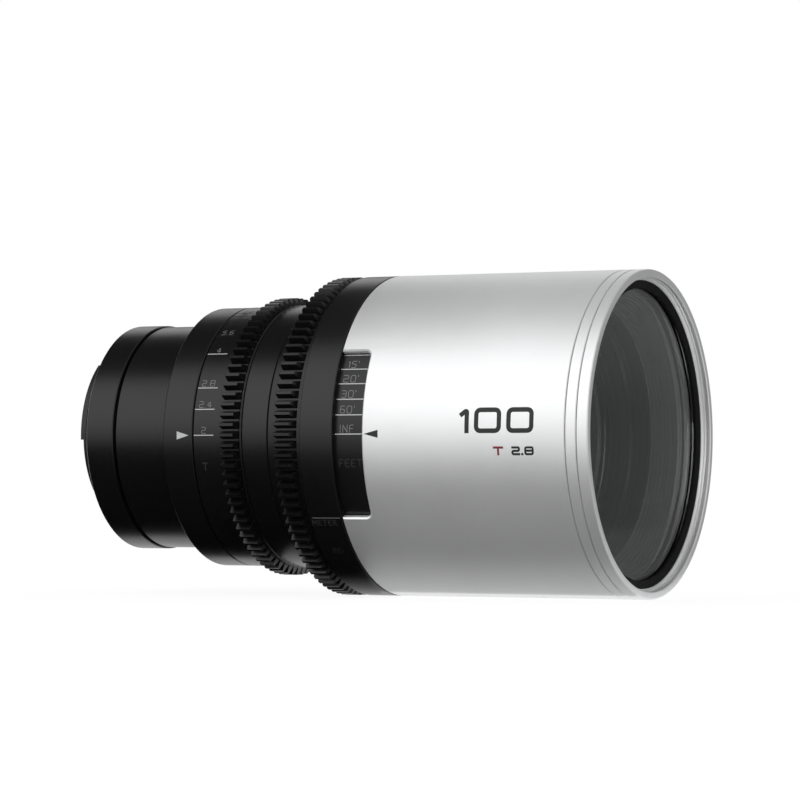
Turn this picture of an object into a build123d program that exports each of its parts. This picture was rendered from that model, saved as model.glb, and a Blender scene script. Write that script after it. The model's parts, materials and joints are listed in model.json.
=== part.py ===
from build123d import *
import math
import os

# A cinema prime lens, in millimetres. X is the lens axis, with the camera flange seat at X = 0 and the
# front at +X. The index marks lie on the -Y side. Angles round the axis are measured from +Y towards +Z.

# Driving sizes
barrel_r = 40.0
module = 0.8
pressure_deg = 20.0
addendum_share = 1.0
dedendum_share = 1.25
focus_turn_deg = 120.0
iris_turn_deg = 114.0
focus_travel = 9.0
blade_count = 9
blade_turn_deg = 31.5

# Fits, edges and overruns that every piece shares
fit_gap = 0.02
running_gap = 0.06
ring_gap = 0.2
edge_bevel = 0.2
overrun = 1.0
near_side_deg = 180.0

# Lengths along the axis, from the camera to the front
mount_base_len = 7.8
groove_len = 0.7
rear_barrel_len = 16.3
shoulder_len = 8.45
iris_gap = 0.35
iris_scale_len = 8.5
iris_gear_len = 4.6
iris_bevel_len = 0.7
iris_rim_len = 0.6
collar_len = 7.1
focus_rim_len = 5.1
focus_gear_len = 5.5
focus_bevel_len = 1.2
focus_groove_len = 1.7
focus_band_len = 8.8
window_len = 7.85
front_barrel_len = 60.8
spacer_len = 2.85
filter_ring_len = 3.05

rear_barrel_start = mount_base_len + groove_len
shoulder_start = rear_barrel_start + rear_barrel_len
shoulder_end = shoulder_start + shoulder_len
iris_start = shoulder_end + iris_gap
iris_gear_start = iris_start + iris_scale_len
iris_gear_end = iris_gear_start + iris_gear_len
iris_end = iris_gear_end + iris_rim_len
collar_start = iris_end + ring_gap
collar_end = collar_start + collar_len
focus_start = collar_end + ring_gap
focus_gear_start = focus_start + focus_rim_len
focus_gear_end = focus_gear_start + focus_gear_len
band_start = focus_gear_end + focus_groove_len
band_end = band_start + focus_band_len
barrel_start = band_end + ring_gap
window_end = barrel_start + window_len
barrel_end = barrel_start + front_barrel_len
spacer_end = barrel_end + spacer_len
front_face = spacer_end + filter_ring_len

# Radii: walls and steps inwards from the barrel, and outwards again from the main tube
window_wall = 1.25
front_wall = 2.4
focus_groove_depth = 1.8
tube_depth = 9.5
tube_wall = 2.5
tube_step = 2.0
shoulder_wall = 2.5
iris_scale_wall = 2.54
iris_gear_height = 4.7
collar_wall = 2.8
focus_rim_wall = 3.0
cell_flange_seat = 2.3
cell_flange_step = 2.2
rear_barrel_wall = 2.5
rear_web_step = 4.0
base_rim = 0.35
groove_depth = 1.2

scale_bore_r = barrel_r - window_wall
front_bore_r = barrel_r - front_wall
focus_groove_r = barrel_r - focus_groove_depth
tube_r = barrel_r - tube_depth
tube_bore_r = tube_r - tube_wall
tube_step_r = tube_bore_r - tube_step
shoulder_r = tube_r + shoulder_wall
iris_scale_r = tube_r + iris_scale_wall
iris_gear_r = tube_r + iris_gear_height
collar_r = tube_r + collar_wall
focus_rim_r = tube_r + focus_rim_wall
cell_flange_bore_r = tube_r - cell_flange_seat
rear_bore_r = cell_flange_bore_r - cell_flange_step
rear_barrel_r = rear_bore_r + rear_barrel_wall
rear_web_r = rear_bore_r - rear_web_step
mount_base_r = rear_barrel_r + base_rim
groove_r = rear_barrel_r - groove_depth

# The focus gear is as large as the barrel
focus_teeth = round(2 * (barrel_r / module - addendum_share))
iris_teeth = round(2 * (iris_gear_r / module - addendum_share))


def polar(radius, degrees, station=0.0):
    """Point at a radius and an angle round the lens axis."""
    angle = math.radians(degrees)
    return (station, radius * math.cos(angle), radius * math.sin(angle))


def turned(*outline):
    """Solid turned about the lens axis from an outline of (station, radius) points."""
    return revolve(make_face(Polyline(*outline, close=True)), Axis.X)


def ring(start, end, inner_r, outer_r, bevel=0.0):
    """Plain ring, with bevelled outer edges if a bevel is given."""
    outer = [(start, outer_r), (end, outer_r)]
    if bevel:
        outer = [(start, outer_r - bevel), (start + bevel, outer_r), (end - bevel, outer_r),
                 (end, outer_r - bevel)]
    return turned((start, inner_r), *outer, (end, inner_r))


def sector(start, end, inner_r, outer_r, from_deg, to_deg):
    """Part of a plain ring between two angles round the axis."""
    outline = Polyline((start, inner_r), (start, outer_r), (end, outer_r), (end, inner_r), close=True)
    face = Rot(from_deg, 0, 0) * make_face(outline)
    return revolve(face, Axis.X, to_deg - from_deg)


def radial_rod(radius, inner_r, outer_r, station, degrees):
    """Round rod that stands out from the axis."""
    rod = Cylinder(radius, outer_r - inner_r, align=(Align.CENTER, Align.CENTER, Align.MIN))
    return Rot(degrees, 0, 0) * Pos(station, inner_r, 0) * Rot(-90, 0, 0) * rod


def axial_rod(radius, start, end, pitch_r, degrees):
    """Round rod parallel to the axis."""
    rod = Cylinder(radius, end - start, align=(Align.CENTER, Align.CENTER, Align.MIN))
    return Pos(*polar(pitch_r, degrees, start)) * Rot(0, 90, 0) * rod


def around(count, first_deg=0.0):
    """Evenly spaced angles round the axis."""
    return [first_deg + 360.0 * step / count for step in range(count)]


def slotted_screw(head_r, head_len, shank_r, head_start, shank_end, pitch_r, degrees, slot_share=0.3):
    """Axial screw with a slotted head at its rear end, and its slot along the Y axis."""
    head_end = head_start + head_len
    body = axial_rod(head_r, head_start, head_end, pitch_r, degrees)
    body += axial_rod(shank_r, head_end, shank_end, pitch_r, degrees)
    slot = Box(head_len, 2 * head_r + overrun, head_r * slot_share)
    return body - Pos(*polar(pitch_r, degrees, head_start)) * slot


def grub_screw(radius, tip_r, top_r, station, degrees):
    """Radial set screw with a hexagon socket in its outer end."""
    socket_r = radius / 2
    socket_depth = (top_r - tip_r) / 2
    socket = extrude(RegularPolygon(socket_r, 6), socket_depth + overrun)
    socket = Rot(degrees, 0, 0) * Pos(station, top_r - socket_depth, 0) * Rot(-90, 0, 0) * socket
    return radial_rod(radius, tip_r, top_r, station, degrees) - socket


def lens_element(back, front, edge_r, back_sag, front_sag):
    """Glass with two spherical faces. A positive sag moves the middle of a face towards the front."""
    def face_curve(station, sag, upwards):
        ends = [(station + sag, 0), (station, edge_r)]
        if not sag:
            return Line(*(ends if upwards else ends[::-1]))
        radius = (edge_r ** 2 + sag ** 2) / (2 * abs(sag))
        drop = radius - math.sqrt(radius ** 2 - (edge_r / 2) ** 2)
        middle = (station + sag - math.copysign(drop, sag), edge_r / 2)
        first, last = ends if upwards else ends[::-1]
        return ThreePointArc(first, middle, last)
    outline = (face_curve(back, back_sag, True) + Line((back, edge_r), (front, edge_r))
               + face_curve(front, front_sag, False) + Line((front + front_sag, 0), (back + back_sag, 0)))
    return revolve(make_face(outline), Axis.X)


def face_x(station, sag, edge_r, radius):
    """Station of a glass face at a radius, where the face meets its edge at the given station."""
    if not sag:
        return station
    sphere_r = (edge_r ** 2 + sag ** 2) / (2 * abs(sag))
    return station + sag - math.copysign(sphere_r - math.sqrt(sphere_r ** 2 - radius ** 2), sag)


def lens_ring(back, back_sag, front, front_sag, edge_r, open_r):
    """Ring between a glass face behind it and one in front of it, where a sag of zero is a flat face."""
    back_gap = fit_gap if back_sag else 0
    front_gap = fit_gap if front_sag else 0
    return turned((back + back_gap, edge_r), (front - front_gap, edge_r),
                  (face_x(front, front_sag, edge_r, open_r) - front_gap, open_r),
                  (face_x(back, back_sag, edge_r, open_r) + back_gap, open_r))


def gear_blank(teeth, start, tip_end, root_end):
    """Toothed ring whose teeth are bevelled towards the front, full down to the axis."""
    pitch_r = module * teeth / 2
    addendum = module * addendum_share
    dedendum = module * dedendum_share
    tip_r = pitch_r + addendum
    root_r = pitch_r - dedendum
    lean = math.tan(math.radians(pressure_deg))
    half_tooth = math.pi * module / 4
    tip_half = math.degrees((half_tooth - addendum * lean) / tip_r)
    root_half = math.degrees((half_tooth + dedendum * lean) / root_r)
    points = []
    for middle in around(teeth):
        points.append(polar(root_r, middle - root_half, start))
        points.append(polar(tip_r, middle - tip_half, start))
        points.append(polar(tip_r, middle + tip_half, start))
        points.append(polar(root_r, middle + root_half, start))
    toothed = extrude(make_face(Polyline(*points, close=True)), root_end - start, dir=(1, 0, 0))
    limit = turned((start, 0), (start, tip_r - edge_bevel), (start + edge_bevel, tip_r), (tip_end, tip_r),
                   (root_end, root_r), (root_end, 0))
    return toothed & limit


# Camera bayonet: a steel plate with a spigot and three lugs, screwed on from behind
seat_inset = 0.2
plate_len = 1.6
throat_wall = 1.6
spigot_len = 5.2
lug_height = 2.2
lug_clearance = 2.0
lug_start_gap = 3.1
lug_len = 1.4
lug_count = 3
lug_span_deg = 52.0
lug_low_edge_deg = 2.0
mount_screw_count = 4
mount_screw_inset = 2.3
mount_screw_head_r = 1.6
mount_screw_head_len = 0.8
mount_screw_r = 0.9
mount_screw_depth = 3.4
head_recess = 0.1
lock_hole_r = 1.1
lock_hole_deg = 20.0
mount_screw_first_deg = 45.0

seat_r = rear_barrel_r - seat_inset
mount_screw_pitch_r = seat_r - mount_screw_inset
lug_r = mount_screw_pitch_r - lug_clearance
spigot_r = lug_r - lug_height
throat_r = spigot_r - throat_wall
mount_screw_degs = around(mount_screw_count, mount_screw_first_deg)
mount_head_end = head_recess + mount_screw_head_len

# Shim, mount base and rear barrel
shim_len = 0.2
base_set_back = 0.1
base_lip = 1.0
base_screw_count = 4
base_screw_inset = 2.3
base_screw_head_r = 1.4
base_screw_head_len = 1.1
base_screw_r = 0.8
base_screw_grip = 2.2
rear_web_len = 3.0
cell_flange_len = 1.8
shoulder_bevel = 0.5

base_bore_r = rear_web_r - base_lip
base_screw_pitch_r = rear_web_r + base_screw_inset
shim_end = plate_len + shim_len
tube_start = shoulder_start + cell_flange_len
rear_web_end = rear_barrel_start + rear_web_len

# Set screws on the side away from the marks
set_screw_r = 0.9
set_screw_sink = 0.2
set_screw_degs = (55.0, -55.0)
rear_screw_x = (tube_start + shoulder_end) / 2
collar_screw_x = (collar_start + collar_end) / 2


def make_bayonet_mount():
    plate = turned((0, spigot_r), (0, seat_r), (plate_len, seat_r), (plate_len, throat_r),
                   (-spigot_len, throat_r), (-spigot_len, spigot_r - edge_bevel),
                   (-spigot_len + edge_bevel, spigot_r))
    lug_end = -lug_start_gap
    for low_deg in around(lug_count, near_side_deg + lug_low_edge_deg - lug_span_deg):
        plate += sector(lug_end - lug_len, lug_end, spigot_r - edge_bevel, lug_r, low_deg,
                        low_deg + lug_span_deg)
    for degrees in mount_screw_degs:
        plate -= axial_rod(mount_screw_head_r + fit_gap, -overrun, mount_head_end, mount_screw_pitch_r,
                           degrees)
        plate -= axial_rod(mount_screw_r + fit_gap, 0, plate_len + overrun, mount_screw_pitch_r, degrees)
    return plate - axial_rod(lock_hole_r, -overrun, plate_len + overrun, mount_screw_pitch_r, lock_hole_deg)


def make_mount_screws():
    return [slotted_screw(mount_screw_head_r, mount_screw_head_len, mount_screw_r, head_recess,
                          shim_end + mount_screw_depth, mount_screw_pitch_r, degrees)
            for degrees in mount_screw_degs]


def make_flange_shim():
    shim = ring(plate_len, shim_end, base_bore_r, seat_r)
    for degrees in mount_screw_degs:
        shim -= axial_rod(mount_screw_r + fit_gap, 0, shim_end + overrun, mount_screw_pitch_r, degrees)
    return shim


def make_mount_base():
    recess_r = seat_r + fit_gap
    base = turned((base_set_back, recess_r), (base_set_back, mount_base_r - edge_bevel),
                  (base_set_back + edge_bevel, mount_base_r), (mount_base_len - edge_bevel, mount_base_r),
                  (mount_base_len, mount_base_r - edge_bevel), (mount_base_len, groove_r),
                  (rear_barrel_start, groove_r), (rear_barrel_start, base_bore_r), (shim_end, base_bore_r),
                  (shim_end, recess_r))
    for degrees in mount_screw_degs:
        base -= axial_rod(mount_screw_r + fit_gap, 0, shim_end + mount_screw_depth + ring_gap,
                          mount_screw_pitch_r, degrees)
    for degrees in around(base_screw_count):
        base -= axial_rod(base_screw_head_r + fit_gap, 0, shim_end + ring_gap + base_screw_head_len,
                          base_screw_pitch_r, degrees)
        base -= axial_rod(base_screw_r + fit_gap, 0, rear_barrel_start + overrun, base_screw_pitch_r,
                          degrees)
    return base


def make_base_screws():
    return [slotted_screw(base_screw_head_r, base_screw_head_len, base_screw_r, shim_end + ring_gap,
                          rear_barrel_start + base_screw_grip, base_screw_pitch_r, degrees)
            for degrees in around(base_screw_count)]


def make_rear_barrel():
    tube_seat_r = tube_r + fit_gap
    barrel = turned((rear_barrel_start, rear_web_r), (rear_barrel_start, rear_barrel_r - edge_bevel),
                    (rear_barrel_start + edge_bevel, rear_barrel_r), (shoulder_start, rear_barrel_r),
                    (shoulder_start, shoulder_r - shoulder_bevel),
                    (shoulder_start + shoulder_bevel, shoulder_r),
                    (shoulder_end - edge_bevel, shoulder_r), (shoulder_end, shoulder_r - edge_bevel),
                    (shoulder_end, tube_seat_r), (tube_start, tube_seat_r),
                    (tube_start, cell_flange_bore_r), (shoulder_start, cell_flange_bore_r),
                    (shoulder_start, rear_bore_r), (rear_web_end, rear_bore_r),
                    (rear_web_end, rear_web_r))
    for degrees in around(base_screw_count):
        barrel -= axial_rod(base_screw_r + fit_gap, 0, rear_barrel_start + base_screw_grip + ring_gap,
                            base_screw_pitch_r, degrees)
    for degrees in set_screw_degs:
        barrel -= radial_rod(set_screw_r + fit_gap, tube_r, shoulder_r + overrun, rear_screw_x, degrees)
    return barrel


def make_rear_set_screws():
    return [grub_screw(set_screw_r, tube_r + fit_gap, shoulder_r - set_screw_sink, rear_screw_x, degrees)
            for degrees in set_screw_degs]


# Rear light baffle: a stepped cone pressed into the bayonet throat
rear_baffle_lip_len = 0.6
rear_baffle_depth = 4.2
rear_baffle_wall = 1.2
rear_baffle_steps = 5


def make_rear_baffle():
    start, end = -spigot_len + rear_baffle_lip_len, plate_len
    outer_r = throat_r - fit_gap
    mouth_r = outer_r - rear_baffle_wall
    open_r = throat_r - rear_baffle_depth
    step_len = (end - start) / rear_baffle_steps
    step_r = (mouth_r - open_r) / rear_baffle_steps
    outline = [(end, outer_r), (start, outer_r)]
    for step in range(rear_baffle_steps):
        radius = open_r + step * step_r
        outline.append((start + step * step_len, radius))
        outline.append((start + (step + 1) * step_len, radius + step_r / 2))
    return turned(*outline)


# Main tube: carries every ring, guides the focus cell and stops the turning rings
tube_flange_len = 3.0
lip_len = 3.0
lip_width = 2.2
barrel_screw_count = 3
barrel_screw_r = 0.8
barrel_screw_head_r = 1.3
barrel_screw_head_len = 1.2
barrel_screw_first_deg = 30.0
roller_r = 2.0
roller_count = 3
roller_first_deg = 90.0
roller_from_focus_start = 19.2
key_half_deg = 4.0
key_first_deg = 30.0
stop_r = 1.0
stop_after_focus_start = 2.4
stop_height = 1.2
stop_deg = 0.0
iris_seat_after_shoulder = 1.65
base_plate_len = 1.5
blade_room = 2.45
scroll_gap = 0.15
scroll_len = 2.4
iris_retainer_len = 2.0

lip_r = front_bore_r - lip_width
barrel_screw_pitch_r = (lip_r + scale_bore_r) / 2
barrel_screw_degs = around(barrel_screw_count, barrel_screw_first_deg)
roller_x = focus_start + roller_from_focus_start
slot_half = roller_r + running_gap
roller_degs = around(roller_count, roller_first_deg)
stop_x = focus_start + stop_after_focus_start
stop_groove_r = tube_r + stop_height
iris_seat = shoulder_end + iris_seat_after_shoulder
blades_start = iris_seat + base_plate_len
rim_end = blades_start + blade_room
scroll_start = rim_end + scroll_gap
scroll_end = scroll_start + scroll_len
iris_retainer_start = scroll_end + scroll_gap
iris_retainer_end = iris_retainer_start + iris_retainer_len
key_x = (scroll_start + scroll_end) / 2
key_len = scroll_len - 2 * ring_gap


def make_main_tube():
    flange_r = scale_bore_r - fit_gap
    tube = turned((tube_start, tube_step_r), (tube_start, tube_r), (flange_start, tube_r),
                  (flange_start, flange_r), (flange_end, flange_r), (flange_end, tube_bore_r),
                  (iris_seat, tube_bore_r), (iris_seat, tube_step_r))
    for degrees in roller_degs:
        first, last = roller_x - ring_gap, roller_x + focus_travel + ring_gap
        for station in (first, last):
            tube -= radial_rod(slot_half, tube_bore_r - overrun, tube_r + overrun, station, degrees)
        slot = Box(last - first, tube_r - tube_bore_r + 2 * overrun, 2 * slot_half)
        tube -= Rot(degrees, 0, 0) * Pos((first + last) / 2, (tube_r + tube_bore_r) / 2, 0) * slot
    clear_deg = math.degrees(ring_gap / tube_bore_r)
    tube -= sector(key_x - key_len / 2 - ring_gap, key_x + key_len / 2 + ring_gap, tube_bore_r - overrun,
                   tube_r + overrun, key_first_deg - key_half_deg - clear_deg,
                   key_first_deg + iris_turn_deg + key_half_deg + clear_deg)
    tube -= radial_rod(stop_r + fit_gap, tube_bore_r - overrun, tube_r + overrun, stop_x, stop_deg)
    for degrees in barrel_screw_degs:
        tube -= axial_rod(barrel_screw_r + fit_gap, flange_start - overrun, flange_end + overrun,
                          barrel_screw_pitch_r, degrees)
    return tube


def make_focus_stop_pin():
    return radial_rod(stop_r, tube_bore_r + ring_gap, stop_groove_r - ring_gap, stop_x, stop_deg)


def make_centre_collar():
    collar = ring(collar_start, collar_end, tube_r + fit_gap, collar_r, edge_bevel)
    for degrees in set_screw_degs:
        collar -= radial_rod(set_screw_r + fit_gap, tube_r, collar_r + overrun, collar_screw_x, degrees)
    return collar


def make_collar_set_screws():
    return [grub_screw(set_screw_r, tube_r + fit_gap, collar_r - set_screw_sink, collar_screw_x, degrees)
            for degrees in set_screw_degs]


# Front barrel, its window for the focus scale, the spacer ring and the filter ring
front_spigot_wall = 1.0
window_half_deg = 30.3
window_corner_r = 1.5
window_bevel = 0.38
seam_len = 0.2
front_edge_round = 0.5
filter_wall = 1.9
thread_len = 2.3
filter_lip_width = 0.2
filter_lip_len = 0.75
front_screw_r = 1.0
front_screw_behind_face = 20.3
front_screw_degs = (270.0, 30.0)

front_spigot_r = front_bore_r + front_spigot_wall
thread_r = barrel_r - filter_wall
filter_lip_r = front_bore_r - filter_lip_width
ledge_x = front_face - thread_len
front_spigot_end = ledge_x - filter_lip_len
front_screw_x = front_face - front_screw_behind_face


def window_shape(grow, inner_r):
    """Sector with rounded front corners, as large as the window and a margin round it."""
    grow_deg = math.degrees(grow / barrel_r)
    shape = sector(barrel_start - overrun, window_end + grow, inner_r, barrel_r + overrun,
                   near_side_deg - window_half_deg - grow_deg, near_side_deg + window_half_deg + grow_deg)
    corners = [edge for edge in shape.edges().filter_by(GeomType.LINE)
               if abs(edge.center().X - window_end - grow) < fit_gap]
    return fillet(corners, window_corner_r + grow)


def window_mouth():
    """Wider cut at the barrel's surface that leaves a bevel round the window."""
    bevel = window_bevel + fit_gap
    floor_r = barrel_r - bevel
    mouth = window_shape(window_bevel, floor_r)
    rim = [edge for edge in mouth.edges()
           if all(abs(math.hypot((edge @ share).Y, (edge @ share).Z) - floor_r) < fit_gap
                  for share in (0, 1 / 2, 1)) and (edge @ (1 / 2)).X > barrel_start]
    return chamfer(rim, bevel)


def make_front_barrel():
    barrel = turned((barrel_start, scale_bore_r), (barrel_start, barrel_r - edge_bevel),
                    (barrel_start + edge_bevel, barrel_r), (barrel_end - edge_bevel, barrel_r),
                    (barrel_end, barrel_r - edge_bevel), (barrel_end, front_spigot_r),
                    (front_spigot_end, front_spigot_r), (front_spigot_end, front_bore_r),
                    (lip_end, front_bore_r), (lip_end, lip_r), (flange_end, lip_r),
                    (flange_end, scale_bore_r))
    barrel -= window_shape(0, scale_bore_r - overrun)
    barrel -= window_mouth()
    for degrees in front_screw_degs:
        barrel -= radial_rod(front_screw_r + fit_gap, front_bore_r - overrun, barrel_r + overrun,
                             front_screw_x, degrees)
    for degrees in barrel_screw_degs:
        barrel -= axial_rod(barrel_screw_r + fit_gap, flange_start, lip_end + overrun, barrel_screw_pitch_r,
                            degrees)
    return barrel


def make_barrel_screws():
    return [slotted_screw(barrel_screw_head_r, barrel_screw_head_len, barrel_screw_r,
                          flange_start - barrel_screw_head_len, lip_end, barrel_screw_pitch_r, degrees)
            for degrees in barrel_screw_degs]


def make_front_set_screws():
    return [grub_screw(front_screw_r, front_bore_r, barrel_r - set_screw_sink, front_screw_x, degrees)
            for degrees in front_screw_degs]


def make_front_spacer_ring():
    return ring(barrel_end + seam_len, spacer_end, front_spigot_r + fit_gap, barrel_r, edge_bevel)


def make_filter_ring():
    seam_end = spacer_end + seam_len
    round_steps = 4
    corner = []
    for step in range(round_steps + 1):
        angle = math.radians(90.0 * step / round_steps)
        corner.append((front_face - front_edge_round * (1 - math.sin(angle)),
                       barrel_r - front_edge_round * (1 - math.cos(angle))))
    return turned((front_spigot_end, filter_lip_r), (front_spigot_end, front_spigot_r),
                  (seam_end, front_spigot_r), (seam_end, barrel_r - edge_bevel),
                  (seam_end + edge_bevel, barrel_r), *corner, (front_face, thread_r + edge_bevel),
                  (front_face - edge_bevel, thread_r), (ledge_x, thread_r), (ledge_x, filter_lip_r))


# Front group: cell, front glass, retaining ring, grooved baffle and the elements behind it
cell_wall = 1.1
retaining_ring_width = 1.85
retaining_ring_len = 1.3
retaining_ring_slope = 0.5
front_glass_len = 4.0
front_glass_bulge = 0.4
baffle_len = 8.9
baffle_groove_count = 10
baffle_groove_depth = 0.35
baffle_front_wall = 1.58
baffle_taper = 3.6
second_retainer_len = 3.0
second_retainer_width = 2.5
second_edge_depth = 1.2
second_glass_len = 6.0
second_back_sag = -2.0
second_front_sag = 2.4
second_lip_len = 4.6
second_lip_width = 2.0
third_edge_step = 1.5
third_glass_len = 5.0
third_back_sag = 3.4
third_front_sag = 1.5
third_retainer_len = 2.5
third_retainer_width = 2.5
lip_clearance = 1.3

cell_r = front_bore_r - fit_gap
glass_bore_r = cell_r - cell_wall
ring_r = filter_lip_r - running_gap
retaining_ring_open_r = ring_r - retaining_ring_width
baffle_front_r = glass_bore_r - baffle_front_wall
baffle_back_r = baffle_front_r - baffle_taper
second_edge_r = baffle_back_r + second_edge_depth
second_retainer_open_r = second_edge_r - second_retainer_width
second_lip_r = second_edge_r - second_lip_width
third_edge_r = second_edge_r - third_edge_step
third_retainer_open_r = third_edge_r - third_retainer_width
front_glass_front = ledge_x - retaining_ring_len
front_glass_back = front_glass_front - front_glass_len
baffle_back = front_glass_back - baffle_len
second_front = baffle_back - second_retainer_len
second_back = second_front - second_glass_len
second_lip_start = second_back - second_lip_len
third_front = second_lip_start
third_back = third_front - third_glass_len
third_retainer_start = third_back - third_retainer_len
lip_end = third_retainer_start - lip_clearance
flange_end = lip_end - lip_len
flange_start = flange_end - tube_flange_len
second_bore_r = second_edge_r + fit_gap
third_bore_r = third_edge_r + fit_gap


def make_front_cell():
    second_seat_x = face_x(second_back, second_back_sag, second_edge_r, second_lip_r) - fit_gap
    third_seat_x = face_x(third_front, third_front_sag, third_edge_r, second_lip_r) + fit_gap
    return turned((lip_end, third_bore_r), (lip_end, cell_r), (front_glass_front, cell_r),
                  (front_glass_front, glass_bore_r), (baffle_back, glass_bore_r),
                  (baffle_back, second_bore_r), (second_back, second_bore_r),
                  (second_seat_x, second_lip_r), (third_seat_x, second_lip_r), (third_front, third_bore_r))


def make_front_glass():
    return lens_element(front_glass_back, front_glass_front, glass_bore_r - fit_gap, 0, front_glass_bulge)


def make_front_retaining_ring():
    inner_x = ledge_x - retaining_ring_slope
    seat_x = face_x(front_glass_front, front_glass_bulge, glass_bore_r - fit_gap, retaining_ring_open_r)
    return turned((seat_x + fit_gap, retaining_ring_open_r), (front_glass_front + fit_gap, glass_bore_r),
                  (front_glass_front + fit_gap, ring_r),
                  (ledge_x - edge_bevel, ring_r), (ledge_x, ring_r - edge_bevel),
                  (inner_x, retaining_ring_open_r))


def make_front_baffle():
    """Spacer whose inner cone is cut with fine steps that trap stray light."""
    outline = [(front_glass_back, glass_bore_r - fit_gap), (baffle_back, glass_bore_r - fit_gap)]
    pitch = baffle_len / baffle_groove_count
    rise = (baffle_front_r - baffle_back_r) / baffle_groove_count
    for groove in range(baffle_groove_count):
        start = baffle_back + groove * pitch
        middle = start + pitch / 2
        radius = baffle_back_r + groove * rise
        outline.append((start, radius))
        outline.append((middle, radius + rise / 2))
        outline.append((middle, radius + rise / 2 + baffle_groove_depth))
        outline.append((start + pitch, radius + rise + baffle_groove_depth))
    return turned(*outline)


def make_second_retainer():
    return lens_ring(second_front, second_front_sag, baffle_back, 0, second_edge_r, second_retainer_open_r)


def make_second_element():
    return lens_element(second_back, second_front, second_edge_r, second_back_sag, second_front_sag)


def make_third_element():
    return lens_element(third_back, third_front, third_edge_r, third_back_sag, third_front_sag)


def make_third_retainer():
    return lens_ring(third_retainer_start, 0, third_back, third_back_sag, third_edge_r,
                     third_retainer_open_r)


# Focus ring: gear, band, scale sleeve and cam sleeve turn together
hub_len = 11.4
cam_flange_step = 1.2
cam_flange_len = 2.0
cam_sleeve_height = 2.0
cam_sleeve_clearance = 2.0
ring_screw_count = 6
ring_screw_head_share = 1 / 3
ring_screw_shank_share = 0.6
ring_screw_head_len = 1.2
ring_screw_depth = 4.0
band_spigot_len = 2.4
band_spigot_step = 0.85
scale_gap = 0.3
scale_wall = 1.2
scale_grip = 4.0
scale_len = 9.9

hub_end = focus_start + hub_len
cam_flange_end = hub_end + cam_flange_len
cam_sleeve_end = flange_start - cam_sleeve_clearance
hub_bore_r = tube_r + running_gap
scale_start = band_end - scale_grip
scale_end = band_end + scale_len
scale_r = scale_bore_r - scale_gap
scale_inner_r = scale_r - scale_wall
band_spigot_r = scale_r - band_spigot_step
cam_flange_r = band_spigot_r - cam_flange_step
cam_sleeve_r = tube_r + cam_sleeve_height
screw_circle_r = (cam_flange_r + cam_sleeve_r) / 2
ring_screw_head_r = (cam_flange_r - cam_sleeve_r) * ring_screw_head_share
ring_screw_r = ring_screw_head_r * ring_screw_shank_share


def make_focus_gear_ring():
    gear = gear_blank(focus_teeth, focus_gear_start, focus_gear_end - focus_bevel_len, focus_gear_end)
    hub = ring(focus_start, focus_gear_start + fit_gap, hub_bore_r, focus_rim_r, edge_bevel)
    hub += ring(focus_gear_start, focus_gear_end, hub_bore_r, focus_rim_r)
    spigot_end = band_start + band_spigot_len
    nose = turned((focus_gear_end - fit_gap, hub_bore_r), (focus_gear_end - fit_gap, focus_groove_r),
                  (band_start, focus_groove_r), (band_start, band_spigot_r), (spigot_end, band_spigot_r),
                  (spigot_end, cam_flange_r + fit_gap), (hub_end, cam_flange_r + fit_gap),
                  (hub_end, hub_bore_r))
    body = gear + hub + nose
    body -= axial_rod(hub_bore_r, focus_start - overrun, spigot_end + overrun, 0, 0)
    clear_deg = math.degrees((stop_r + running_gap) / tube_r)
    body -= sector(stop_x - stop_r - ring_gap, stop_x + stop_r + ring_gap, tube_r, stop_groove_r,
                   stop_deg - focus_turn_deg - clear_deg, stop_deg + clear_deg)
    for degrees in around(ring_screw_count):
        body -= axial_rod(ring_screw_r + fit_gap, hub_end - ring_screw_depth - ring_gap, hub_end + overrun,
                          screw_circle_r, degrees)
    return body


def make_focus_ring_screws():
    screws = []
    for degrees in around(ring_screw_count):
        head_end = cam_flange_end + ring_screw_head_len
        screw = axial_rod(ring_screw_head_r, cam_flange_end, head_end, screw_circle_r, degrees)
        screw += axial_rod(ring_screw_r, hub_end - ring_screw_depth, cam_flange_end, screw_circle_r, degrees)
        slot = Box(ring_screw_head_len, 2 * ring_screw_head_r + overrun, ring_screw_head_r / 3)
        screws.append(screw - Pos(*polar(screw_circle_r, degrees, head_end)) * slot)
    return screws


def make_focus_band():
    grip_r = scale_r + fit_gap
    spigot_end = band_start + band_spigot_len
    return turned((band_start, band_spigot_r + fit_gap), (band_start, barrel_r - edge_bevel),
                  (band_start + edge_bevel, barrel_r), (band_end - edge_bevel, barrel_r),
                  (band_end, barrel_r - edge_bevel), (band_end, grip_r), (scale_start, grip_r),
                  (scale_start, scale_inner_r), (spigot_end, scale_inner_r),
                  (spigot_end, band_spigot_r + fit_gap))


def make_focus_scale_sleeve():
    return ring(scale_start, scale_end, scale_inner_r, scale_r)


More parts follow.
